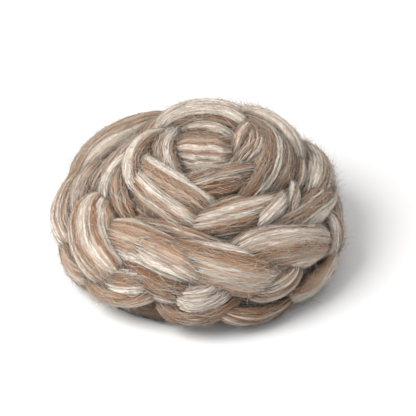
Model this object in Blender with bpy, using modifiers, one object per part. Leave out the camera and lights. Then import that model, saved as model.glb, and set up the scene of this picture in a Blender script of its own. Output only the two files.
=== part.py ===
"""Wool roving: a plaited length of combed wool top, wound into a nest of two tiers.

The nest is one solid. Its form is a low dome that leans a little to the back and right. The folds
of the plait lie on that form as fat tapered rolls, and their ends dive under their neighbours.

Sizes in the tables are millimetres and degrees. A place on the form is (turn, reach): turn goes
round the nest, 0 at the front and 90 at the right, and reach runs down the form from the crown.
"""
import math

import bmesh
import bpy
from mathutils import Matrix, Vector

MM = 0.001

# The form, crown to foot: radius and height.
PROFILE = [
    (0, 74), (18, 77), (36, 78), (50, 74), (61, 65), (71, 57),
    (82, 52), (93, 43), (101, 27), (100, 11), (93, -1), (76, -5),
]
TOP = 78                     # height that the whole lean is reached at
LEAN = (12, 14)              # how far the crown sits to the right of the foot, and behind it
FOOT_SHIFT = (-3.2, -3.6)    # moves the foot so that the nest's box is centred on the origin
PROFILE_STEPS = 12           # points between two rows of the profile

CORE_DEPTH = 9               # the middle of the nest lies this far under the form
CORE_FOOT = -8               # and runs this far past the base, which is then cut flat
CORE_SIDES = 64

FOLD_STEPS = 13              # rings along a fold
FOLD_TIP = 0.3               # width of a fold's tips, for its full width
FOLD_DIVE = 12               # how far a fold's ends go under
FOLD_EASE = 1.06             # a roll is a little wider than the band of it that shows
BEVEL_RESOLUTION = 3

VOXEL = 3.2                  # grid that the rolls are fused on
TRIANGLES = 9600             # what the fused nest is thinned to
BASE_DEPTH = 40              # thickness of the slab that cuts the base flat

# One row a fold: where it starts, its middle and its end as (turn, reach), its width, and how
# far its crest stands above the form. Turn grows from start to end.
FOLDS = [
    # the heart
    ((90, -30), (90, 0), (90, 27), 46, 6),
    ((84, 22), (173, 22), (234, 30), 10, 3),
    ((-144, 32), (-80, 32), (-13, 51), 18, 2),
    ((20, 34), (76, 33), (143, 40), 16, 1),
    ((59, 16), (118, 24), (134, 44), 10, 1),
    ((-26, 49), (12, 40), (58, 44), 25, 4),
    ((-15, 59), (9, 54), (40, 50), 15, -2),
    # the upper coil
    ((-88, 52), (-29, 49), (9, 68), 21, 3),
    ((-76, 58), (-34, 61), (0, 74), 25, 3),
    ((-60, 67), (-42, 69), (-21, 74), 14, -3),
    ((-124, 28), (-85, 52), (-41, 64), 17, 3),
    ((-94, 40), (-87, 71), (-56, 85), 13, 0),
    ((-88, 60), (-64, 72), (-36, 82), 23, 1),
    ((54, 43), (104, 34), (152, 35), 13, 1),
    ((21, 62), (75, 44), (160, 43), 23, 4),
    ((41, 65), (79, 58), (142, 56), 20, 2),
    ((62, 72), (91, 70), (132, 66), 13, 1),
    ((92, 72), (125, 62), (166, 52), 18, 8),
    ((146, 50), (184, 54), (232, 48), 16, 5),
    ((128, 36), (190, 38), (252, 42), 14, 3),
    ((150, 64), (192, 70), (236, 62), 19, 3),
    ((-12, 72), (23, 68), (68, 73), 30, 4),
    # the outer coil, right side and front
    ((66, 82), (97, 88), (130, 92), 27, 5),
    ((44, 84), (63, 77), (86, 73), 12, 2),
    ((40, 81), (53, 74), (65, 68), 10, 0),
    ((24, 82), (58, 85), (92, 102), 25, 4),
    ((9, 96), (38, 94), (74, 124), 34, 5),
    ((-50, 82), (-14, 78), (20, 96), 23, 1),
    ((-56, 98), (-25, 92), (5, 105), 32, 4),
    ((-24, 89), (8, 100), (34, 114), 34, 6),
    ((-33, 104), (-17, 109), (3, 112), 25, 2),
    ((-42, 120), (-29, 116), (-18, 112), 25, 3),
    ((-48, 122), (-32, 129), (-13, 116), 18, 3),
    ((-12, 116), (0, 119), (12, 108), 24, 4),
    ((-20, 122), (-1, 130), (16, 119), 19, 2),
    ((10, 116), (21, 125), (35, 131), 17, -4),
    ((5, 123), (25, 137), (46, 136), 18, 3),
    ((18, 115), (32, 119), (43, 110), 19, 3),
    ((18, 101), (33, 109), (49, 110), 19, 0),
    ((36, 137), (53, 136), (68, 126), 22, 2),
    ((56, 132), (70, 121), (72, 100), 16, 1),
    # the outer coil, left side
    ((-74, 82), (-56, 102), (-29, 116), 39, 6),
    ((-104, 92), (-86, 115), (-60, 118), 22, 3),
    ((-113, 85), (-88, 96), (-68, 104), 20, 2),
    ((-74, 122), (-57, 128), (-36, 122), 21, 1),
    ((-168, 84), (-130, 96), (-96, 106), 35, 8),
    ((-146, 62), (-104, 76), (-72, 95), 23, 1),
]

# The back of the outer coil repeats the plait's two legs, one pair a pitch.
BACK_PITCH = 31
BACK_LEGS = [
    # first turn, number, then start, middle and end as (turn past the first, reach), width, crest
    (84, 4, (0, 92), (20, 98), (44, 122), 30, 1),
    (62, 7, (0, 146), (17, 126), (40, 108), 24, 1),
    (70, 6, (0, 124), (17, 138), (36, 130), 20, 1),
]

WOOL_COLOUR = (0.56, 0.45, 0.36, 1.0)


def smooth_profile(rows):
    """Points of a smooth curve through the profile's rows, level at the crown."""
    ends = [(-rows[1][0], rows[1][1])] + list(rows) + [rows[-1]]
    points = []
    for a, b, c, d in zip(ends, ends[1:], ends[2:], ends[3:]):
        for step in range(PROFILE_STEPS):
            t = step / PROFILE_STEPS
            points.append(tuple(
                0.5 * (2 * q + (r - p) * t + (2 * p - 5 * q + 4 * r - s) * t * t
                       + (3 * q - p - 3 * r + s) * t ** 3)
                for p, q, r, s in zip(a, b, c, d)
            ))
    points.append(rows[-1])
    return points


CURVE = smooth_profile(PROFILE)
REACHES = [0.0]
for near, far in zip(CURVE, CURVE[1:]):
    REACHES.append(REACHES[-1] + math.dist(near, far))


def radius_and_height(reach):
    """Where the profile is after this length from the crown."""
    reach = min(max(reach, 0.0), REACHES[-1])
    place = next(i for i in range(1, len(REACHES)) if REACHES[i] >= reach)
    share = (reach - REACHES[place - 1]) / (REACHES[place] - REACHES[place - 1])
    near, far = CURVE[place - 1], CURVE[place]
    return tuple(a + (b - a) * share for a, b in zip(near, far))


def lean_at(height):
    """How far the nest's axis has moved over at a height."""
    share = height / TOP
    return Vector((LEAN[0] * share + FOOT_SHIFT[0], LEAN[1] * share + FOOT_SHIFT[1], 0.0))


def on_form(turn, reach):
    """The point of the form at a turn and a reach, which is negative past the crown."""
    radius, height = radius_and_height(abs(reach))
    radius = math.copysign(radius, reach)
    angle = math.radians(turn)
    around = Vector((radius * math.sin(angle), -radius * math.cos(angle), height))
    return around + lean_at(height)


def outwards(turn, reach):
    """The form's outward direction at a turn and a reach."""
    small = 0.5
    down = on_form(turn, reach + small) - on_form(turn, reach - small)
    round_it = Vector((math.cos(math.radians(turn)), math.sin(math.radians(turn)), 0.0))
    return down.cross(round_it).normalized()


def through(start, middle, end, share):
    """The value at a share of the way along a curve through three values."""
    a = (1 - share) * (1 - 2 * share)
    b = 4 * share * (1 - share)
    c = share * (2 * share - 1)
    return tuple(p * a + q * b + r * c for p, q, r in zip(start, middle, end))


def all_folds():
    """Every fold's row: the ones placed singly, then the back's repeated legs."""
    rows = list(FOLDS)
    for first, number, start, middle, end, width, crest in BACK_LEGS:
        for place in range(number):
            turn = first + place * BACK_PITCH
            spots = [(turn + spot[0], spot[1]) for spot in (start, middle, end)]
            rows.append((*spots, width, crest))
    return rows


def as_mesh(source, name):
    """A welded mesh object of what a curve or modified object evaluates to, which it replaces."""
    graph = bpy.context.evaluated_depsgraph_get()
    data = bpy.data.meshes.new_from_object(source.evaluated_get(graph), depsgraph=graph)
    data.transform(source.matrix_world)
    bpy.data.objects.remove(source)
    mesh = bmesh.new()
    mesh.from_mesh(data)
    bmesh.ops.remove_doubles(mesh, verts=mesh.verts, dist=1e-6)
    mesh.to_mesh(data)
    mesh.free()
    data.name = name
    return bpy.data.objects.new(name, data)


def make_fold(row, place):
    """One fold as a roll that swells in its middle and dives under at both ends."""
    start, middle, end, width, crest = row
    curve = bpy.data.curves.new(f"fold_{place:02d}", "CURVE")
    curve.dimensions = "3D"
    curve.bevel_depth = MM
    curve.bevel_resolution = BEVEL_RESOLUTION
    curve.use_fill_caps = True
    spline = curve.splines.new("POLY")
    spline.points.add(FOLD_STEPS - 1)
    for step in range(FOLD_STEPS):
        share = step / (FOLD_STEPS - 1)
        turn, reach = through(start, middle, end, share)
        swell = (1 - abs(2 * share - 1) ** 2.6) ** 0.75
        half = width * FOLD_EASE / 2 * (FOLD_TIP + (1 - FOLD_TIP) * swell)
        depth = crest - half - FOLD_DIVE * (1 - swell)
        centre = on_form(turn, reach) + outwards(turn, reach) * depth
        spline.points[step].co = (*(centre * MM), 1.0)
        spline.points[step].radius = half
    roll = bpy.data.objects.new(curve.name, curve)
    bpy.context.scene.collection.objects.link(roll)
    return as_mesh(roll, curve.name)


def make_core():
    """The middle of the nest: the form's profile, drawn in, turned round and leant over."""
    outline = [(0.0, CURVE[0][1] - CORE_DEPTH)]
    for reach in range(8, int(REACHES[-1]), 8):
        radius, height = radius_and_height(reach)
        before, after = radius_and_height(reach - 1), radius_and_height(reach + 1)
        slope = Vector((after[0] - before[0], after[1] - before[1])).normalized()
        outline.append((radius + slope.y * CORE_DEPTH, height - slope.x * CORE_DEPTH))
    outline = [spot for spot in outline if spot[1] > 0]
    outline += [(outline[-1][0], CORE_FOOT), (0.0, CORE_FOOT)]
    data = bpy.data.meshes.new("core")
    data.from_pydata(
        [(radius * MM, 0.0, height * MM) for radius, height in outline],
        [(i, i + 1) for i in range(len(outline) - 1)],
        [],
    )
    core = bpy.data.objects.new("core", data)
    bpy.context.scene.collection.objects.link(core)
    turned = core.modifiers.new("turned", "SCREW")
    turned.steps = CORE_SIDES
    turned.render_steps = CORE_SIDES
    turned.use_merge_vertices = True
    turned.merge_threshold = 0.0001
    core = as_mesh(core, "core")
    leant = Matrix.Identity(4)
    leant[0][2] = LEAN[0] / TOP
    leant[1][2] = LEAN[1] / TOP
    leant[0][3] = FOOT_SHIFT[0] * MM
    leant[1][3] = FOOT_SHIFT[1] * MM
    core.data.transform(leant)
    return core


def joined(objects, name):
    """One mesh object that holds all these objects' meshes, still loose from each other."""
    mesh = bmesh.new()
    for item in objects:
        mesh.from_mesh(item.data)
        bpy.data.objects.remove(item)
    data = bpy.data.meshes.new(name)
    mesh.to_mesh(data)
    mesh.free()
    return bpy.data.objects.new(name, data)


def make_base_cutter(collection):
    """A slab under the base, whose top is the flat that the nest rests on."""
    bpy.ops.mesh.primitive_cube_add(size=1.0)
    slab = bpy.context.active_object
    slab.name = "base_cutter"
    slab.data.transform(Matrix.Diagonal((0.5, 0.5, BASE_DEPTH * MM, 1.0)))
    slab.data.transform(Matrix.Translation((0.0, 0.0, -BASE_DEPTH * MM / 2)))
    for owner in list(slab.users_collection):
        owner.objects.unlink(slab)
    collection.objects.link(slab)
    slab.hide_render = True
    slab.display_type = "WIRE"
    return slab


def centred(item):
    """Moves a mesh sideways so that its box is centred on the origin."""
    low = [min(v.co[axis] for v in item.data.vertices) for axis in (0, 1)]
    high = [max(v.co[axis] for v in item.data.vertices) for axis in (0, 1)]
    move = [-(a + b) / 2 for a, b in zip(low, high)]
    item.data.transform(Matrix.Translation((*move, 0.0)))
    return item


def wool_material():
    material = bpy.data.materials.new("combed_wool")
    material.use_nodes = True
    shader = material.node_tree.nodes["Principled BSDF"]
    shader.inputs["Base Color"].default_value = WOOL_COLOUR
    shader.inputs["Roughness"].default_value = 0.85
    shader.inputs["Metallic"].default_value = 0.0
    return material


def make_nest(parts, cutters):
    """The fused folds and core, thinned and cut flat underneath."""
    rolls = [make_fold(row, place) for place, row in enumerate(all_folds())]
    nest = joined(rolls + [make_core()], "roving_nest")
    parts.objects.link(nest)
    fused = nest.modifiers.new("fused", "REMESH")
    fused.mode = "VOXEL"
    fused.voxel_size = VOXEL * MM
    graph = bpy.context.evaluated_depsgraph_get()
    faces = len(nest.evaluated_get(graph).data.polygons)
    thinned = nest.modifiers.new("thinned", "DECIMATE")
    thinned.ratio = TRIANGLES / (2 * faces)
    flat = nest.modifiers.new("flat_base", "BOOLEAN")
    flat.operation = "DIFFERENCE"
    flat.solver = "EXACT"
    flat.object = make_base_cutter(cutters)
    nest = centred(as_mesh(nest, "roving_nest"))
    nest.data.shade_smooth()
    nest.data.materials.append(wool_material())
    parts.objects.link(nest)
    return nest


def main():
    for item in list(bpy.data.objects):
        bpy.data.objects.remove(item)
    parts = bpy.data.collections.new("wool_roving")
    cutters = bpy.data.collections.new("cutters")
    for collection in (parts, cutters):
        bpy.context.scene.collection.children.link(collection)
    make_nest(parts, cutters)


main()
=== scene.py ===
"""The looks of a wool roving: a plaited length of combed wool, wound into a nest of two tiers.

The plait's folds are modelled one by one on the nest's form, each with its own run of natural
shades. Combed fibres are laid along them and loose hairs stand off them.

Tables are in millimetres and degrees, and everything else is in metres. A place on the form is
(turn, reach): turn goes round the nest, 0 at the front and 90 at the right, and reach runs down
the form from the crown.
"""
import math

import bpy
import numpy as np
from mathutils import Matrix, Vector


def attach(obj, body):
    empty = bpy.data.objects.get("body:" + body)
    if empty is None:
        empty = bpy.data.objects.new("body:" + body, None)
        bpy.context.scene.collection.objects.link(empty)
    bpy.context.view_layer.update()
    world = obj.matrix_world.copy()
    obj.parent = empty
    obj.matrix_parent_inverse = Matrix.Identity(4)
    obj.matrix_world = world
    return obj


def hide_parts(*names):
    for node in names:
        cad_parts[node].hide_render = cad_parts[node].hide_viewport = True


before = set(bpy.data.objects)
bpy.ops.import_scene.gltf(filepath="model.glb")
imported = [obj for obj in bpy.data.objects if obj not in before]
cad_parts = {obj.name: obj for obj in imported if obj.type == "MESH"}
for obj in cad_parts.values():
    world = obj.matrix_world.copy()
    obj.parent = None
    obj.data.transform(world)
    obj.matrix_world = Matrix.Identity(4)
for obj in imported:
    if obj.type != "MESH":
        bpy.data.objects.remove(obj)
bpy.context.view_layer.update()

NEST = "roving_nest"
BODY = "root"
MM = 0.001

# ---------------------------------------------------------------- sizes

PROFILE = [
    # the form, crown to foot: radius and height
    (0, 74), (18, 77), (36, 78), (50, 74), (61, 65), (71, 57),
    (82, 52), (93, 43), (101, 27), (100, 11), (93, -1), (76, -5),
]
TOP = 78               # the form's height
LEAN = (12, 14)        # how far it leans at that height, to the right and to the back
FOOT_SHIFT = (-3.2, -3.6)
PROFILE_STEPS = 24     # points between two of the profile's rows

FOLD_RINGS = 31        # rings along a fold
FOLD_SIDES = 54        # points round a fold
HEART_SIDES = 90       # points round the heart's folds, whose locks are the finest
HIDDEN_SIDES = 10      # of which this many lie on its hidden underside
FOLD_TIP = 0.16        # width of a fold's tips, for its full width
TIP_BLUNTNESS = 2.6    # how late a fold starts to narrow to its tips
TIP_ROUNDNESS = 0.75   # how suddenly it then ends
FOLD_PAST = 0.05       # how far a fold runs on past its two ends, for its length
FOLD_DIVE = 11.0       # how far its tips go under
FOLD_FLATNESS = 0.8    # thickness for its width
FOLD_EASE = 1.02       # a fold is a little wider than the band of it that shows
LOCK_SPREAD = 0.54     # the locks cover this much of a fold's width to each side of its crest
GROOVE_DEPTH = 1.1     # depth of the groove between two locks
LOCK_WIDTH = 2.5       # a lock this wide or wider has the whole of that depth
LOCK_EDGE = 3.2        # how sharply one lock's shade gives way to the next
GROOVE_WIDTH = 0.16    # for the width of a lock
STRAND_DEPTH = 0.35    # depth of the finer strands
STRANDS = [(7, 0.45), (12, 0.35), (19, 0.2)]  # number across a fold, share of that depth
LUMP_DEPTH = 0.6       # depth of a fold's uneven lumps
WIDE = 24.0            # a fold this wide or wider has the whole of both depths
GROUND = 0.4           # folds that would go lower lie flat at this height
MAP_GAP = 0.01         # metres: between two folds on their map
CORE_DEPTH = 9.0       # how far the hidden inner turns lie under the form
CORE_SIDES = 120       # points round them
CORE_ROWS = 60         # rows down them
INNER_PAINTED_SHADE = 1.2       # painted shade: the inner turns are painted this closed in everywhere
CREVICE_REACH = 0.014  # metres: how near another fold has to be to paint shade on a spot
CREVICE_RAYS = 20
CREVICE_GAIN = 2.2     # for the share of those rays that meet wool
GROOVE_SHADE = 0.3     # painted shade in the line between two locks: how closed in it is painted
FOOT_SHADE = 0.6       # painted shade at the foot: how closed in the wool is painted there
FOOT_REACH = 0.02      # metres: up to this height
LAID_STEPS = 5         # faces along a laid fibre
HAIR_STEPS = 5         # faces along a loose hair
HAIR_TOP = 0.092       # metres: loose hairs reach no higher

# Shades of wool, as places on the ramp from the palest to the darkest.
SHADES = {"w": 0.02, "c": 0.2, "g": 0.45, "t": 0.68, "b": 0.95}

HEART, UPPER, OUTER, BACK = "heart", "upper_coil", "outer_coil", "outer_coil_back"
FOLDS = [
    # piece, then start, middle and end as (turn, reach), width, how far the crest stands above
    # the form, and the locks' shades from the crown side to the foot side
    (HEART, (90, -30), (90, -2), (90, 22), 46, 6, "ccttttttbbbtbbbgggbbwcwtbcwbwc"),
    (HEART, (84, 19), (173, 18), (234, 29), 14, 2, "ttcwwtcc"),
    (HEART, (-144, 32), (-80, 32), (-13, 51), 18, 2, "btcwctgtb"),
    (HEART, (20, 34), (76, 30), (143, 38), 19, 3, "tgtgcc"),
    (HEART, (59, 18), (112, 24), (134, 42), 11, 3, "tct"),
    (HEART, (-26, 49), (12, 40), (58, 44), 25, 4, "cctttgcgbb"),
    (HEART, (-15, 59), (9, 54), (40, 50), 15, -2, "bbtb"),
    (UPPER, (-88, 52), (-29, 49), (9, 68), 21, 3, "cwwwwbbbbgbgc"),
    (UPPER, (-76, 58), (-34, 61), (0, 74), 25, 3, "gcbgcwctbcgb"),
    (UPPER, (-60, 67), (-42, 69), (-21, 74), 14, -3, "gctc"),
    (UPPER, (-124, 28), (-85, 52), (-41, 64), 17, 3, "bbtcwwwc"),
    (UPPER, (-94, 40), (-87, 71), (-56, 85), 13, 0, "cwwcg"),
    (UPPER, (-88, 60), (-64, 72), (-36, 82), 23, 1, "bbtbgttb"),
    (UPPER, (-104, 45), (-82, 45), (-62, 45), 15, -2, "tgbtgb"),
    (UPPER, (54, 43), (104, 34), (152, 35), 13, 1, "ctc"),
    (UPPER, (21, 62), (75, 44), (160, 43), 23, 4, "gtbbbwwb"),
    (UPPER, (41, 65), (79, 58), (142, 56), 20, 2, "btctbtw"),
    (UPPER, (62, 72), (91, 70), (132, 66), 13, 2, "btwc"),
    (UPPER, (92, 72), (123, 62), (157, 54), 18, 8, "cwccg"),
    (UPPER, (146, 50), (184, 54), (232, 48), 16, 5, "wwwccww"),
    (UPPER, (128, 36), (190, 39), (252, 42), 14, 4, "cwwcwtc"),
    (UPPER, (130, 30), (188, 31), (246, 36), 11, 1, "tbbt"),
    (UPPER, (150, 64), (192, 70), (236, 62), 19, 3, "gtbc"),
    (UPPER, (-12, 72), (23, 68), (66, 73), 31, 4, "tcbtcwctwctbtbwc"),
    (UPPER, (28, 78), (40, 73), (57, 68), 13, 6, "gwwc"),
    (OUTER, (66, 82), (96, 88), (124, 91), 27, 5, "gcwwcgtcc"),
    (OUTER, (43, 84), (56, 75), (70, 67), 10, 5, "wbwc"),
    (OUTER, (39, 82), (51, 74), (61, 65), 9, 3, "btb"),
    (OUTER, (24, 82), (58, 85), (98, 102), 25, 4, "tbttcttbcw"),
    (OUTER, (9, 96), (36, 94), (66, 118), 34, 5, "tcwbwwcgwgtbtgtgc"),
    (OUTER, (-50, 82), (-14, 78), (20, 96), 23, 1, "ctgtgc"),
    (OUTER, (-56, 98), (-25, 91), (8, 108), 32, 5, "cctbtttgggtgtcww"),
    (OUTER, (-26, 87), (8, 100), (34, 114), 34, 6, "cwtbbttgcggcggtg"),
    (OUTER, (-36, 93), (-16, 95), (5, 108), 20, 7, "tttgggccw"),
    (OUTER, (-38, 101), (-18, 110), (3, 112), 25, 2, "bbbbbbc"),
    (OUTER, (-42, 120), (-29, 116), (-18, 112), 25, 3, "wwwbbbbwwwww"),
    (OUTER, (-49, 122), (-34, 128), (-14, 112), 15, 3, "bttbtgc"),
    (OUTER, (-9, 115), (1, 117), (12, 106), 23, 4, "cgwgcwcw"),
    (OUTER, (-15, 124), (0, 130), (16, 118), 19, 2, "tbtbbt"),
    (OUTER, (10, 116), (21, 125), (35, 131), 17, -4, "bbb"),
    (OUTER, (5, 124), (25, 139), (46, 137), 15, 3, "bbcbtwgb"),
    (OUTER, (18, 115), (32, 119), (43, 110), 19, 3, "gbcgwbtc"),
    (OUTER, (18, 101), (33, 109), (49, 110), 19, 0, "gcgc"),
    (OUTER, (38, 137), (55, 135), (71, 123), 18, 5, "tcwwcwcc"),
    (OUTER, (56, 132), (70, 121), (73, 100), 16, 3, "cwtbwcg"),
    (OUTER, (-74, 82), (-56, 102), (-29, 116), 39, 6, "tgccbbcgwcctbbcbww"),
    (OUTER, (-104, 92), (-86, 115), (-60, 118), 22, 3, "ggctcwwc"),
    (OUTER, (-113, 85), (-88, 96), (-68, 104), 20, 0, "bgggcggc"),
    (OUTER, (-74, 122), (-57, 128), (-36, 122), 21, 1, "tbggtgcgb"),
    (OUTER, (-166, 84), (-130, 96), (-96, 106), 35, 6, "cgtggtgttt"),
    (OUTER, (-146, 62), (-104, 76), (-72, 95), 23, -2, "gggtgt"),
]
HEART_FLATNESS = 0.9   # the heart's own bundle is round

# The back of the outer coil repeats the plait's legs, one set a pitch.
BACK_PITCH = 31
BACK_LEGS = [
    # first turn, number, then start, middle and end as (turn past the first, reach), width, crest
    (86, 4, (0, 92), (20, 98), (44, 122), 30, 0),
    (65, 7, (0, 146), (17, 126), (40, 108), 24, -1),
    (70, 6, (0, 124), (17, 138), (36, 130), 20, 1),
]
BACK_SHADES = ["ctcgbtc", "gcttbc", "cbtgcc", "tbcgtg", "cgtcbt"]

# Colours of the wool, palest to darkest: place on the ramp and linear colour.
WOOL_RAMP = [
    (0.0, (0.97, 0.90, 0.81)),
    (0.2, (0.80, 0.69, 0.585)),
    (0.45, (0.51, 0.395, 0.31)),
    (0.68, (0.55, 0.33, 0.195)),
    (1.0, (0.235, 0.115, 0.055)),
]

HAIR_RAMP = [
    (0.0, (0.72, 0.67, 0.60)),
    (0.5, (0.52, 0.45, 0.38)),
    (1.0, (0.30, 0.21, 0.15)),
]

# What grows on the folds: how many to the square metre and their sizes in metres. Slant is for
# the length, and Stray is in radians from the way the wool runs.
LAID_FIBRES = {"Density": 150000.0, "Length": 0.03, "Width": 0.0003, "Lift": 0.0005,
               "Slant": 0.1, "Curl": 0.0001}
VEIL = {"Density": 80000.0, "Length": 0.026, "Width": 0.00016, "Lift": 0.0012,
        "Slant": 0.5, "Curl": 0.0009}
LOOSE_HAIRS = {"Density": 90000.0, "Length": 0.016, "Width": 0.00018, "Rise": 0.006,
               "Stray": 1.4, "Curl": 0.003}
FRIZZ = {"Density": 165000.0, "Length": 0.01, "Width": 0.0002, "Rise": 0.0035,
         "Stray": 3.1, "Curl": 0.0025}
BACK_THIN = 0.5        # the back has this share of them

CREVICE_SHADE = 0.93   # painted shade: how much darker the wool is painted where other folds close it in
CREVICE_SHADE_BROWN = 0.25   # and how much browner that painted shade makes it, on the ramp

# ---------------------------------------------------------------- the form


def smooth_profile(rows):
    """Points of a smooth curve through the profile's rows, level at the crown."""
    ends = [(-rows[1][0], rows[1][1])] + list(rows) + [rows[-1]]
    points = []
    for a, b, c, d in zip(ends, ends[1:], ends[2:], ends[3:]):
        for step in range(PROFILE_STEPS):
            t = step / PROFILE_STEPS
            points.append([
                0.5 * (2 * q + (r - p) * t + (2 * p - 5 * q + 4 * r - s) * t * t
                       + (3 * q - p - 3 * r + s) * t ** 3)
                for p, q, r, s in zip(a, b, c, d)
            ])
    points.append(list(rows[-1]))
    return np.array(points, float)


CURVE = smooth_profile(PROFILE)
REACHES = np.concatenate([[0.0], np.cumsum(np.linalg.norm(np.diff(CURVE, axis=0), axis=1))])


def on_form(turn, reach):
    """Points of the form at turns and reaches, in millimetres. A reach is negative past the crown."""
    radius = np.interp(np.abs(reach), REACHES, CURVE[:, 0]) * np.where(reach < 0, -1.0, 1.0)
    height = np.interp(np.abs(reach), REACHES, CURVE[:, 1])
    angle = np.radians(turn)
    share = height / TOP
    return np.stack([
        radius * np.sin(angle) + LEAN[0] * share + FOOT_SHIFT[0],
        -radius * np.cos(angle) + LEAN[1] * share + FOOT_SHIFT[1],
        height,
    ], -1)


def unit(vectors):
    return vectors / np.linalg.norm(vectors, axis=-1, keepdims=True)


def outwards(turn, reach):
    """The form's outward directions at turns and reaches."""
    small = 0.5
    down = on_form(turn, reach + small) - on_form(turn, reach - small)
    angle = np.radians(turn)
    round_it = np.stack([np.cos(angle), np.sin(angle), np.zeros_like(angle)], -1)
    return unit(np.cross(down, round_it))


def through(start, middle, end, share):
    """The values at shares of the way along a curve through three values."""
    return (start * (1 - share) * (1 - 2 * share) + middle * 4 * share * (1 - share)
            + end * share * (2 * share - 1))


# ---------------------------------------------------------------- folds


def all_folds():
    """Every fold's row: the ones placed singly, then the back's repeated legs."""
    rows = list(FOLDS)
    for leg, (first, number, start, middle, end, width, crest) in enumerate(BACK_LEGS):
        for place in range(number):
            turn = first + place * BACK_PITCH
            spots = [(turn + spot[0], spot[1]) for spot in (start, middle, end)]
            shades = BACK_SHADES[(place * 2 + leg) % len(BACK_SHADES)]
            rows.append((BACK, *spots, width, crest, shades))
    return rows


def shade_across(shades, across, wander):
    """The shade at places across a fold, 0 at its crown side and 1 at its foot side, with soft
    edges between one lock and the next, and how near each place is to such an edge."""
    levels = np.array([SHADES[letter] for letter in shades])
    place = np.clip(across + wander, 0.0, 0.9999) * len(levels)
    low = np.clip(np.floor(place - 0.5).astype(int), 0, len(levels) - 1)
    high = np.clip(low + 1, 0, len(levels) - 1)
    share = np.clip((place - 0.5) - low, 0, 1)
    edge = np.clip((share - 0.5) * LOCK_EDGE + 0.5, 0, 1)
    edge = edge * edge * (3 - 2 * edge)
    near = np.exp(-((share - 0.5) / GROOVE_WIDTH) ** 2) * (low != high)
    return levels[low] * (1 - edge) + levels[high] * edge, near


def round_a_fold(piece):
    """Angles round a fold's section, from underneath (-pi) over the crest (0) to underneath."""
    sides = HEART_SIDES if piece == HEART else FOLD_SIDES
    under, quarter = HIDDEN_SIDES // 2, np.pi / 2
    return np.concatenate([
        np.linspace(-np.pi, -quarter, under, endpoint=False),
        np.linspace(-quarter, quarter, sides - 2 * under, endpoint=False),
        np.linspace(quarter, np.pi, under + 1),
    ])


def fold_mesh(row, place):
    """The points, map and shades of one fold, as a dictionary of arrays."""
    piece, start, middle, end, width, crest, shades = row
    rng = np.random.default_rng(100 + place)
    along = np.linspace(-FOLD_PAST, 1 + FOLD_PAST, FOLD_RINGS)
    turn = through(start[0], middle[0], end[0], along)
    reach = through(start[1], middle[1], end[1], along)
    flatness = HEART_FLATNESS if place == 0 else FOLD_FLATNESS
    to_tip = np.abs(np.linspace(-1, 1, FOLD_RINGS))
    swell = (1 - to_tip ** TIP_BLUNTNESS) ** TIP_ROUNDNESS
    breadth = width * FOLD_EASE * (FOLD_TIP + (1 - FOLD_TIP) * swell)
    depth = breadth * flatness
    out = outwards(turn, reach)
    centre = on_form(turn, reach) + out * (crest - depth / 2 - FOLD_DIVE * (1 - swell))[:, None]
    ahead = unit(np.gradient(centre, axis=0))
    crown_side = unit(np.cross(out, ahead))
    out = np.cross(ahead, crown_side)

    around = round_a_fold(piece)[:-1]
    side, up = np.sin(around), np.cos(around)
    across = np.clip(0.5 - LOCK_SPREAD * side, 0, 1)
    grid_across, grid_along = np.meshgrid(across, along)
    bend = rng.uniform(0, 2 * np.pi, 6)
    wander = 0.035 * np.sin(2 * np.pi * grid_along * 0.9 + bend[0]) \
        + 0.02 * np.sin(2 * np.pi * grid_along * 2.1 + bend[1] + 4 * grid_across)
    shade, near = shade_across(shades, grid_across, wander)
    # near: closeness to a lock edge, for the groove's relief and for its painted shade
    near = near * min(1.0, width / len(shades) / LOCK_WIDTH) * min(1.0, width / WIDE)

    strands = np.zeros_like(grid_along)
    for (count, size), phase in zip(STRANDS, bend[2:5]):
        sway = 1.1 * np.sin(2 * np.pi * grid_along * 0.8 + phase)
        strands += size * np.sin(2 * np.pi * count * grid_across + sway + phase)
    lumps = LUMP_DEPTH * np.sin(2 * np.pi * grid_along * 1.3 + bend[5]) * np.sin(around)[None]
    relief = STRAND_DEPTH * min(1.0, width / WIDE)
    swollen = strands * relief - near * GROOVE_DEPTH + lumps
    wide = (breadth / 2)[:, None] + swollen
    deep = (depth / 2)[:, None] + swollen
    points = centre[:, None] + out[:, None] * (deep * up[None])[..., None] \
        + crown_side[:, None] * (wide * side[None])[..., None]
    points[..., 2] = GROUND + np.logaddexp(0, (points[..., 2] - GROUND) * 2) / 2

    run = np.concatenate([[0.0], np.cumsum(np.linalg.norm(np.diff(centre, axis=0), axis=1))])
    girth = np.pi * width * FOLD_EASE * (1 + flatness) / 2
    shows = (up > -0.15)[None] * np.clip((swell - 0.3) * 4, 0, 1)[:, None]
    return {
        "points": points.reshape(-1, 3) * MM,
        "centre": centre * MM,
        "shade": shade.ravel(),
        "groove": near.ravel(),
        "shows": shows.ravel(),
        "ahead": np.repeat(ahead, len(around), axis=0),
        "run": run * MM,
        "girth": girth * MM,
    }


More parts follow.
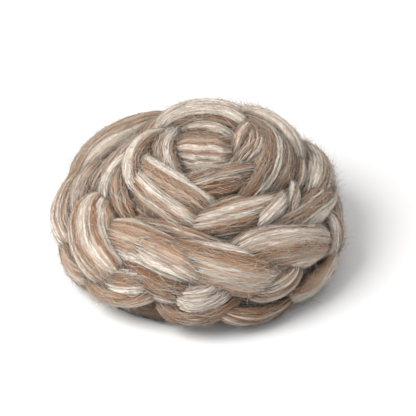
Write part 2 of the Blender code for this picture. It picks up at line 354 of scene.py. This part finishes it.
def make_folds(name, rows, first):
    """One mesh object of several folds, with a map in metres of fibre run and girth, the shades,
    and a second map on which no two faces share a place."""
    rings = FOLD_RINGS
    vertices, faces, laid, packed = [], [], [], []
    shade, groove, shows, ahead = [], [], [], []
    offset = 0.0
    columns = math.ceil(math.sqrt(len(rows)))
    for place, row in enumerate(rows):
        fold = fold_mesh(row, first + place)
        round_share = (round_a_fold(row[0]) + np.pi) / (2 * np.pi)
        sides = len(round_share) - 1
        base = sum(len(block) for block in vertices)
        cap = fold["centre"][[0, -1]]
        vertices += [fold["points"], cap]
        shade += [fold["shade"], fold["shade"][[0, -1]]]
        groove += [fold["groove"], np.zeros(2)]
        shows += [fold["shows"], np.zeros(2)]
        ahead += [fold["ahead"], fold["ahead"][[0, -1]]]
        column, line = place % columns, place // columns

        def spot(ring, side):
            laid.append((fold["run"][ring], offset + fold["girth"] * round_share[side]))
            packed.append((
                (column + 0.04 + 0.92 * ring / (rings - 1)) / columns,
                (line + 0.04 + 0.92 * side / sides) / columns,
            ))

        for ring in range(rings - 1):
            for side in range(sides):
                after = (side + 1) % sides
                a, b = base + ring * sides, base + (ring + 1) * sides
                faces.append((a + side, b + side, b + after, a + after))
                spot(ring, side)
                spot(ring + 1, side)
                spot(ring + 1, side + 1)
                spot(ring, side + 1)
        start, end = base + rings * sides, base + rings * sides + 1
        last = base + (rings - 1) * sides
        for side in range(sides):
            after = (side + 1) % sides
            faces.append((start, base + side, base + after))
            faces.append((end, last + after, last + side))
            for ring, order in ((0, (side, side, side + 1)), (rings - 1, (side, side + 1, side))):
                for turn in order:
                    spot(ring, turn)
        offset += fold["girth"] + MAP_GAP
    data = bpy.data.meshes.new(name)
    data.from_pydata(np.concatenate(vertices).tolist(), [], faces)
    for layer, spots in (("lay", laid), ("OFBake", packed)):
        uv = data.uv_layers.new(name=layer)
        uv.uv.foreach_set("vector", np.array(spots, np.float32).ravel())
    for attribute, values in (("shade", shade), ("groove", groove), ("shows", shows)):
        stored = data.attributes.new(attribute, "FLOAT", "POINT")
        stored.data.foreach_set("value", np.concatenate(values).astype(np.float32))
    stored = data.attributes.new("ahead", "FLOAT_VECTOR", "POINT")
    stored.data.foreach_set("vector", np.concatenate(ahead).astype(np.float32).ravel())
    return as_object(name, data)


def as_object(name, data):
    data.shade_smooth()
    data.update()
    item = bpy.data.objects.new(name, data)
    bpy.context.scene.collection.objects.link(item)
    return item


def make_inner_turns():
    """The older turns of the plait underneath: a low ridged form that fills what the folds leave, in
    a dark brown that is partly painted shade.
    """
    reach = np.linspace(1.0, REACHES[-1], CORE_ROWS)
    turn = np.linspace(0, 360, CORE_SIDES, endpoint=False)
    grid_turn, grid_reach = np.meshgrid(turn, reach)
    ridges = 1.6 * np.abs(np.sin(np.radians(grid_turn) * 14 + grid_reach * 0.16)) \
        + 0.5 * np.sin(np.radians(grid_turn) * 61 - grid_reach * 0.5)
    points = on_form(grid_turn, grid_reach) \
        - outwards(grid_turn, grid_reach) * (CORE_DEPTH - ridges)[..., None]
    points[..., 2] = np.maximum(points[..., 2], GROUND)
    crown, foot = points[0].mean(axis=0), points[-1].mean(axis=0)
    foot[2] = GROUND
    vertices = np.concatenate([points.reshape(-1, 3), [crown, foot]]) * MM
    faces, laid = [], []
    crown_place, foot_place = CORE_ROWS * CORE_SIDES, CORE_ROWS * CORE_SIDES + 1
    for row in range(-1, CORE_ROWS):
        for side in range(CORE_SIDES):
            after = (side + 1) % CORE_SIDES
            here, below = row * CORE_SIDES, (row + 1) * CORE_SIDES
            if row < 0:
                face = [(side, 0), (after, 0), (side, -1)]
                faces.append((crown_place, side, after))
            elif row == CORE_ROWS - 1:
                face = [(side, row), (side, row + 1), (side + 1, row)]
                faces.append((here + side, foot_place, here + after))
            else:
                face = [(side, row), (side, row + 1), (side + 1, row + 1), (side + 1, row)]
                faces.append((here + side, below + side, below + after, here + after))
            laid += [(0.6 * place / CORE_SIDES, 0.18 * line / CORE_ROWS) for place, line in face]
    data = bpy.data.meshes.new("bare")
    data.from_pydata(vertices.tolist(), [], faces)
    for layer, scale in (("lay", (1.0, 1.0)), ("OFBake", (1.6, 5.0))):
        uv = data.uv_layers.new(name=layer)
        spots = np.array(laid) * scale + (0.0, 0.02)
        uv.uv.foreach_set("vector", spots.astype(np.float32).ravel())
    # Dark brown: partly the wool's own brown, partly painted shade for the shadowed gaps between the
    # folds.
    shades = (0.85 + 0.15 * np.sin(grid_turn * 0.4 + grid_reach)).ravel()
    shades = np.concatenate([shades, [0.9, 0.9]])
    # Painted shade: the inner turns are painted closed in everywhere.
    none, shade_amount = np.zeros(len(vertices)), np.full(len(vertices), INNER_PAINTED_SHADE)
    for attribute, values in (("shade", shades), ("shows", none), ("groove", shade_amount)):
        stored = data.attributes.new(attribute, "FLOAT", "POINT")
        stored.data.foreach_set("value", values.astype(np.float32))
    return as_object("bare", data)


# ---------------------------------------------------------------- node maths


class Val:
    """A number from a socket, which adds its Math nodes as it is calculated with."""

    def __init__(self, tree, socket):
        self.tree, self.socket = tree, socket

    def math(self, operation, *values):
        node = self.tree.nodes.new("ShaderNodeMath")
        node.operation = operation
        for slot, value in zip(node.inputs, values):
            join(self.tree, slot, value)
        return Val(self.tree, node.outputs[0])

    def __add__(self, other):
        return self.math("ADD", self, other)

    def __radd__(self, other):
        return self.math("ADD", other, self)

    def __sub__(self, other):
        return self.math("SUBTRACT", self, other)

    def __rsub__(self, other):
        return self.math("SUBTRACT", other, self)

    def __mul__(self, other):
        return self.math("MULTIPLY", self, other)

    def __rmul__(self, other):
        return self.math("MULTIPLY", other, self)

    def __truediv__(self, other):
        return self.math("DIVIDE", self, other)

    def __pow__(self, other):
        return self.math("POWER", self, other)

    def __abs__(self):
        return self.math("ABSOLUTE", self)

    def sine(self):
        return self.math("SINE", self)

    def cosine(self):
        return self.math("COSINE", self)

    def at_least(self, other):
        return self.math("MAXIMUM", self, other)

    def at_most(self, other):
        return self.math("MINIMUM", self, other)


class Vec(Val):
    """A place, direction or colour from a socket, which adds its Vector Math nodes."""

    def math(self, operation, *values):
        node = self.tree.nodes.new("ShaderNodeVectorMath")
        node.operation = operation
        for slot, value in zip(node.inputs, values):
            join(self.tree, slot, value)
        return Vec(self.tree, node.outputs[0])

    def __mul__(self, amount):
        scaled = self.math("SCALE", self)
        join(self.tree, scaled.socket.node.inputs["Scale"], amount)
        return scaled

    def cross(self, other):
        return self.math("CROSS_PRODUCT", self, other)


def join(tree, slot, value):
    """Gives a socket its value, or links it to one value or to each of a list of them."""
    for one in value if isinstance(value, list) else [value]:
        if isinstance(one, Val):
            tree.links.new(one.socket, slot)
        else:
            slot.default_value = one


def socket_of(sockets, key):
    """The socket of this name or number among those in use: a node has one for each data type."""
    used = [socket for socket in sockets if socket.enabled]
    if isinstance(key, int):
        return used[key]
    return next(socket for socket in used if socket.name == key.replace("_", " "))


class Nodes:
    """A node tree, and the one method that adds a node to it."""

    def __init__(self, tree):
        self.tree = tree

    def node(self, kind, settings=None, output=0, **sockets):
        """A node with its settings, then its sockets. Gives one output, or each of a tuple."""
        node = self.tree.nodes.new(kind)
        for key, value in (settings or {}).items():
            if key == "stops":
                ramp = node.color_ramp
                while len(ramp.elements) < len(value):
                    ramp.elements.new(0.5)
                for element, (place, colour) in zip(ramp.elements, value):
                    element.position = place
                    element.color = (*colour, 1.0)
            else:
                setattr(node, key, value)
        for key, value in sockets.items():
            join(self.tree, socket_of(node.inputs, key), value)
        if isinstance(output, tuple):
            return [self.value(socket_of(node.outputs, key)) for key in output]
        return self.value(socket_of(node.outputs, output))

    def value(self, socket):
        kind = Vec if socket.type in ("VECTOR", "RGBA") else Val
        return kind(self.tree, socket)


# ---------------------------------------------------------------- finishes


class Finish(Nodes):
    """A new node material."""

    def __init__(self, name):
        self.material = bpy.data.materials.new(name)
        self.material.use_nodes = True
        super().__init__(self.material.node_tree)
        self.shader = self.tree.nodes["Principled BSDF"]

    def set(self, name, value):
        join(self.tree, self.shader.inputs[name], value)

    def attribute(self, name):
        return self.node("ShaderNodeAttribute", {"attribute_name": name}, output="Fac")

    def streaks(self, source, along, across, detail=2.0):
        """Noise drawn out along the fibre, from 0 to 1."""
        drawn = self.node("ShaderNodeMapping", {"vector_type": "POINT"}, Vector=source,
                          Scale=(along, across, 1.0))
        return self.node("ShaderNodeTexNoise", {"noise_dimensions": "2D"}, Vector=drawn,
                         Scale=1.0, Detail=detail, Roughness=0.6)

    def wool(self, colour):
        """What every wool finish shares: soft, matt and a little hazy at grazing angles."""
        self.set("Base Color", colour)
        self.set("Sheen Weight", 0.28)
        self.set("Sheen Roughness", 0.5)
        self.set("Sheen Tint", (0.95, 0.9, 0.84, 1.0))
        self.set("Specular IOR Level", 0.25)
        self.set("Roughness", 0.8)
        return self.material


def combed_wool():
    """The folds' own surface: shades that run with the fibre, fine streaks and fibre relief, and
    painted shade where the wool is closed in.
    """
    finish = Finish("combed_wool")
    lay = finish.node("ShaderNodeUVMap", {"uv_map": "lay"})
    broad = finish.streaks(lay, 14.0, 330.0)
    fine = finish.streaks(lay, 40.0, 1300.0)
    hair = finish.streaks(lay, 60.0, 2600.0, detail=1.0)
    # Painted shade: closed-in wool is painted browner on the ramp, then darker; the streaks only vary
    # the tone.
    crevice = finish.attribute("crevice")
    shade = finish.attribute("shade") + (broad - 0.5) * 0.7 + (fine - 0.5) * 0.5 \
        + crevice * CREVICE_SHADE_BROWN
    colour = finish.node("ShaderNodeValToRGB", {"stops": WOOL_RAMP}, Fac=shade)
    tone_and_shade = (0.7 + fine * 0.3 + hair * 0.25) * (1.0 - crevice * CREVICE_SHADE)
    relief = fine * 0.6 + hair * 0.4 + broad * 0.5
    finish.set("Normal", finish.node("ShaderNodeBump", Height=relief, Strength=0.6,
                                     Distance=0.0008))
    return finish.wool(colour * tone_and_shade)


def fibre_wool():
    """Fibres laid on the folds: the shade they lie on, lighter or darker fibre by fibre, with painted
    shade where the folds close them in.
    """
    finish = Finish("laid_fibres")
    tone, crevice = finish.attribute("tone"), finish.attribute("crevice")
    # Painted shade: closed-in fibres are painted browner and darker.
    shade = finish.attribute("shade") + tone * 0.27 + crevice * CREVICE_SHADE_BROWN
    colour = finish.node("ShaderNodeValToRGB", {"stops": WOOL_RAMP}, Fac=shade)
    return finish.wool(colour * ((1.0 + tone * 0.2) * (1.0 - crevice * CREVICE_SHADE)))


def hair_wool():
    """Loose hairs: mostly pale and greyish, some brown, and painted darker where they are closed in.
    """
    finish = Finish("loose_hairs")
    shade = finish.attribute("tone") * 0.45 + finish.attribute("shade") * 0.25 + 0.35
    colour = finish.node("ShaderNodeValToRGB", {"stops": HAIR_RAMP}, Fac=shade)
    # Painted shade: closed-in hairs are painted darker.
    return finish.wool(colour * (1.0 - finish.attribute("crevice") * CREVICE_SHADE * 0.8))


# ---------------------------------------------------------------- what grows on the folds


class Tree(Nodes):
    """A new geometry node tree with named inputs."""

    def __init__(self, name, inputs):
        super().__init__(bpy.data.node_groups.new(name, "GeometryNodeTree"))
        face = self.tree.interface
        face.new_socket("Geometry", in_out="INPUT", socket_type="NodeSocketGeometry")
        for label, kind in inputs.items():
            face.new_socket(label, in_out="INPUT", socket_type=f"NodeSocket{kind}")
        face.new_socket("Geometry", in_out="OUTPUT", socket_type="NodeSocketGeometry")
        self.source = self.tree.nodes.new("NodeGroupInput")
        self.result = self.tree.nodes.new("NodeGroupOutput")

    def given(self, label):
        return self.value(self.source.outputs[label])

    def named(self, name, kind="FLOAT"):
        return self.node("GeometryNodeInputNamedAttribute", {"data_type": kind}, Name=name)

    def stored(self, geometry, name, value, kind="FLOAT"):
        return self.node("GeometryNodeStoreNamedAttribute", {"data_type": kind, "domain": "POINT"},
                         Geometry=geometry, Name=name, Value=value)

    def random(self, low, high, seed):
        return self.node("FunctionNodeRandomValue", {"data_type": "FLOAT"}, output="Value",
                         Min=low, Max=high, Seed=seed)

    def strips(self, dots, steps, start):
        """A strip at each dot: "along" runs from the start by one, and "side" is -0.5 to 0.5."""
        place = self.node("GeometryNodeInputPosition")
        along, side = self.node("ShaderNodeSeparateXYZ", output=("X", "Y"), Vector=place)
        strip = self.node("GeometryNodeMeshGrid", Size_X=1.0, Size_Y=1.0, Vertices_X=steps + 1,
                          Vertices_Y=2)
        strip = self.stored(strip, "along", along + (start + 0.5))
        strip = self.stored(strip, "side", side)
        strips = self.node("GeometryNodeInstanceOnPoints", Points=dots, Instance=strip)
        return self.node("GeometryNodeRealizeInstances", Geometry=strips)

    def end(self, geometry):
        join(self.tree, self.result.inputs[0], geometry)
        return self.tree

    def end_fibres(self, fibres):
        """The end of a tree of fibres: values no finish reads are dropped, the material goes on."""
        for name in ("spot", "valid", "along", "side", "root", "long", "slant", "shows", "lay",
                     "ahead", "facing", "roll"):
            fibres = self.node("GeometryNodeRemoveAttribute", Geometry=fibres, Name=name)
        fibres = self.node("GeometryNodeSetShadeSmooth", Geometry=fibres, Shade_Smooth=True)
        fibres = self.node("GeometryNodeRealizeInstances", Geometry=fibres)
        return self.end(self.node("GeometryNodeSetMaterial", Geometry=fibres,
                                  Material=self.given("Material")))


def laid_fibre_tree():
    """Flat fibres that follow the folds: each is a strip laid out on the folds' own map, so it
    runs with the wool, then lifted a little off the surface."""
    tree = Tree("laid_fibres", {
        "Density": "Float", "Length": "Float", "Width": "Float", "Lift": "Float",
        "Slant": "Float", "Curl": "Float", "Seed": "Int", "Material": "Material",
    })
    folds, lay = tree.given("Geometry"), tree.named("lay", "FLOAT_VECTOR")
    dots = tree.node("GeometryNodeDistributePointsOnFaces", {"distribute_method": "RANDOM"},
                     Mesh=folds, Density=tree.given("Density") * tree.named("shows"),
                     Seed=tree.given("Seed"))
    dots = tree.stored(dots, "root", lay, "FLOAT_VECTOR")
    dots = tree.stored(dots, "tone", tree.random(-1.0, 1.0, 1))
    dots = tree.stored(dots, "long", tree.random(0.5, 1.0, 2))
    dots = tree.stored(dots, "slant", tree.random(-1.0, 1.0, 3))
    fibres = tree.strips(dots, LAID_STEPS, start=-0.5)

    along, side, slant = tree.named("along"), tree.named("side"), tree.named("slant")
    run = along * (tree.given("Length") * tree.named("long"))
    narrowing = 1.0 - 3.4 * (along * along)
    curl = (slant * 40.0 + along * 7.0).sine() * tree.given("Curl")
    drift = run * slant * tree.given("Slant") + curl
    breadth = side * tree.given("Width") * narrowing
    spot = tree.named("root", "FLOAT_VECTOR") \
        + tree.node("ShaderNodeCombineXYZ", X=run, Y=drift + breadth)
    place, valid = tree.node("GeometryNodeSampleUVSurface", {"data_type": "FLOAT_VECTOR"},
                             output=("Value", "Is_Valid"), Mesh=folds, UV_Map=lay, Sample_UV=spot,
                             Value=tree.node("GeometryNodeInputPosition"))
    facing = tree.node("GeometryNodeSampleUVSurface", {"data_type": "FLOAT_VECTOR"},
                       output="Value", Mesh=folds, UV_Map=lay, Sample_UV=spot,
                       Value=tree.node("GeometryNodeInputNormal"))
    rise = 0.25 + 0.75 * abs(tree.named("tone"))
    lifted = place + facing * (rise * tree.given("Lift") * narrowing)
    # The places are worked out before any point is removed, so both read the same fibres.
    fibres = tree.stored(fibres, "valid", valid, "BOOLEAN")
    fibres = tree.stored(fibres, "spot", lifted.at_least((-1.0, -1.0, GROUND * MM)), "FLOAT_VECTOR")
    fibres = tree.node("GeometryNodeSetPosition", Geometry=fibres,
                       Position=tree.named("spot", "FLOAT_VECTOR"))
    off_the_map = tree.node("FunctionNodeBooleanMath", {"operation": "NOT"},
                            Boolean=tree.named("valid", "BOOLEAN"))
    fibres = tree.node("GeometryNodeDeleteGeometry", {"domain": "POINT"}, Geometry=fibres,
                       Selection=off_the_map)
    return tree.end_fibres(fibres)


def loose_hair_tree():
    """Hairs that have come loose: each leaves the wool more or less along it and arches away."""
    tree = Tree("loose_hairs", {
        "Density": "Float", "Length": "Float", "Width": "Float", "Rise": "Float",
        "Stray": "Float", "Curl": "Float", "Seed": "Int", "Material": "Material",
    })
    patches = tree.node("ShaderNodeTexNoise", Scale=45.0, Detail=1.0) ** 3.0 * 8.0
    dots, facing = tree.node("GeometryNodeDistributePointsOnFaces", output=("Points", "Normal"),
                             Mesh=tree.given("Geometry"), Seed=tree.given("Seed"),
                             Density=patches * tree.given("Density") * tree.named("shows"))
    dots = tree.stored(dots, "facing", facing, "FLOAT_VECTOR")
    dots = tree.stored(dots, "root", tree.node("GeometryNodeInputPosition"), "FLOAT_VECTOR")
    dots = tree.stored(dots, "tone", tree.random(-1.0, 1.0, 1))
    dots = tree.stored(dots, "long", tree.random(0.35, 1.0, 2))
    dots = tree.stored(dots, "slant", tree.random(-1.0, 1.0, 3))
    dots = tree.stored(dots, "roll", tree.random(0.0, 6.28, 4))
    hairs = tree.strips(dots, HAIR_STEPS, start=0.0)

    along, side, roll = tree.named("along"), tree.named("side"), tree.named("roll")
    facing, ahead = tree.named("facing", "FLOAT_VECTOR"), tree.named("ahead", "FLOAT_VECTOR")
    angle = tree.named("slant") * tree.given("Stray")
    onward = ahead * angle.cosine() + facing.cross(ahead) * angle.sine()
    across = facing.cross(onward)
    run = along * (tree.given("Length") * tree.named("long"))
    rise = along ** 1.4 * tree.given("Rise") * roll.sine()
    sway = (roll + along * 6.0).sine() * along * tree.given("Curl")
    breadth = side * tree.given("Width") * (1.15 - along)
    spot = tree.named("root", "FLOAT_VECTOR") + onward * run + facing * rise + across * sway
    spot = spot + across * (breadth * roll.cosine()) + facing * (breadth * roll.sine())
    spot = spot.at_least((-1.0, -1.0, GROUND * MM)).at_most((1.0, 1.0, HAIR_TOP))
    hairs = tree.node("GeometryNodeSetPosition", Geometry=hairs, Position=spot)
    return tree.end_fibres(hairs)


def crevice_tree():
    """Measures how closed in each spot is, as its amount of painted shade: the share of rays from it
    that meet wool or the floor nearby, with the lines between locks and the foot painted darker too.
    """
    tree = Tree("crevices", {"Folds": "Object", "Reach": "Float"})
    folds = tree.node("GeometryNodeObjectInfo", output="Geometry", Object=tree.given("Folds"))
    # The floor is a target too, so wool near it gets painted shade.
    ground = tree.node("GeometryNodeMeshGrid", Size_X=1.0, Size_Y=1.0, Vertices_X=2, Vertices_Y=2)
    both = tree.node("GeometryNodeJoinGeometry", Geometry=[folds, ground])
    place, facing = tree.node("GeometryNodeInputPosition"), tree.node("GeometryNodeInputNormal")
    source = place + facing * (0.5 * MM)
    reach = tree.given("Reach")
    met = 0.0
    for number in range(CREVICE_RAYS):
        height = 1 - (number + 0.5) * 2 / CREVICE_RAYS
        angle = number * math.pi * (3 - math.sqrt(5))
        ring = math.sqrt(1 - height * height)
        spread = (ring * math.cos(angle), ring * math.sin(angle), height)
        hit, distance = tree.node("GeometryNodeRaycast", output=("Is_Hit", "Hit_Distance"),
                                  Target_Geometry=both, Source_Position=source,
                                  Ray_Direction=facing + spread, Ray_Length=reach)
        met = met + hit * (1.0 - distance / reach)
    # Painted shade at the foot: the lower the wool, the darker it is painted, up to FOOT_REACH.
    height = tree.node("ShaderNodeSeparateXYZ", output="Z", Vector=place)
    low = (1.0 - height / FOOT_REACH).at_least(0.0)
    # The lines between locks get painted shade too, and so do all the inner turns, through their
    # groove value.
    shade_amount = met * (CREVICE_GAIN / CREVICE_RAYS) + tree.named("groove") * GROOVE_SHADE \
        + low * FOOT_SHADE
    return tree.end(tree.stored(tree.given("Geometry"), "crevice", shade_amount.at_most(1.0)))


def grown(name, source, tree, **values):
    """A plain mesh object of what a tree makes of a piece."""
    item = bpy.data.objects.new(name, source.data)
    bpy.context.scene.collection.objects.link(item)
    growth = item.modifiers.new("growth", "NODES")
    growth.node_group = tree
    names = {s.name: s.identifier for s in tree.interface.items_tree if s.in_out == "INPUT"}
    for label, value in values.items():
        growth[names[label]] = value
    graph = bpy.context.evaluated_depsgraph_get()
    data = bpy.data.meshes.new_from_object(item.evaluated_get(graph), depsgraph=graph)
    item.modifiers.remove(growth)
    item.data = data
    data.name = name
    return item


# ---------------------------------------------------------------- camera, floor and light

CAMERA_RISE = 38.0       # degrees above the floor
CAMERA_AWAY = 0.9
CAMERA_LENS = 112.5      # millimetres, on a 36 mm wide sensor
CAMERA_AIM = (0.0073, -0.0036, 0.0315)
FLOOR_GREY = 0.9
SKY_STRENGTH = 0.66
KEY_PLACE = (-0.75, -0.3, 1.0)
KEY_AIM = (0.0, 0.0, 0.03)
KEY_SIZE = 0.9
KEY_WATTS = 17.5
KEY_COLOUR = (1.0, 0.985, 0.97)


def make_camera():
    rise = math.radians(CAMERA_RISE)
    aim = Vector(CAMERA_AIM)
    camera = bpy.data.objects.new("camera", bpy.data.cameras.new("camera"))
    camera.data.lens = CAMERA_LENS
    camera.data.sensor_width = 36.0
    camera.data.clip_start = 0.01
    camera.location = aim + Vector((0.0, -math.cos(rise), math.sin(rise))) * CAMERA_AWAY
    camera.rotation_euler = (math.radians(90.0 - CAMERA_RISE), 0.0, 0.0)
    bpy.context.scene.collection.objects.link(camera)
    bpy.context.scene.camera = camera


def make_key_light():
    lamp = bpy.data.lights.new("key", "AREA")
    lamp.shape = "DISK"
    lamp.size = KEY_SIZE
    lamp.energy = KEY_WATTS
    lamp.color = KEY_COLOUR
    item = bpy.data.objects.new("key", lamp)
    item.location = KEY_PLACE
    item.rotation_euler = (Vector(KEY_AIM) - Vector(KEY_PLACE)).to_track_quat("-Z", "Y").to_euler()
    bpy.context.scene.collection.objects.link(item)


def make_stage():
    bpy.ops.mesh.primitive_plane_add(size=8.0, location=(0.0, 0.0, -0.0002))
    floor = bpy.context.active_object
    floor.name = "floor"
    finish = Finish("pale_floor")
    finish.set("Base Color", (FLOOR_GREY, FLOOR_GREY, FLOOR_GREY, 1.0))
    finish.set("Roughness", 0.9)
    floor.data.materials.append(finish.material)
    world = bpy.data.worlds.new("studio")
    bpy.context.scene.world = world
    world.use_nodes = True
    sky = world.node_tree.nodes["Background"]
    sky.inputs["Color"].default_value = (1.0, 1.0, 1.0, 1.0)
    sky.inputs["Strength"].default_value = SKY_STRENGTH
    make_key_light()
    bpy.context.scene.view_settings.view_transform = "Standard"


# ---------------------------------------------------------------- the nest


def main():
    make_camera()
    make_stage()
    wool, laid_wool, loose_wool = combed_wool(), fibre_wool(), hair_wool()
    crevices, laid, loose = crevice_tree(), laid_fibre_tree(), loose_hair_tree()
    growths = {
        "fibres": (laid, laid_wool, LAID_FIBRES),
        "veil": (laid, loose_wool, VEIL),
        "hairs": (loose, loose_wool, LOOSE_HAIRS),
        "frizz": (loose, loose_wool, FRIZZ),
    }
    rows = all_folds()
    folds = make_folds("folds", rows, 0)

    def shaded(name, bare):
        """The finished surface of a bare mesh object, with its amount of painted shade stored on it;
        the bare object goes.
        """
        bare.data.materials.append(wool)
        piece = grown(name, bare, crevices, Folds=folds, Reach=CREVICE_REACH)
        bpy.data.objects.remove(bare)
        return piece

    inner = shaded("inner_turns", make_inner_turns())
    pieces, first = [], 0
    for place, name in enumerate((HEART, UPPER, OUTER, BACK)):
        own = [row for row in rows if row[0] == name]
        piece = shaded(name, make_folds("bare", own, first))
        first += len(own)
        pieces.append(piece)
        thin = BACK_THIN if name == BACK else 1.0
        for layer, (kind, (tree, material, sizes)) in enumerate(growths.items()):
            values = dict(sizes, Density=sizes["Density"] * thin)
            pieces.append(grown(f"{name}_{kind}", piece, tree, Seed=place + 10 * layer,
                                Material=material, **values))
    bpy.data.objects.remove(folds)
    pieces.append(inner)
    for piece in pieces:
        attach(piece, BODY)
    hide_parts(NEST)


main()
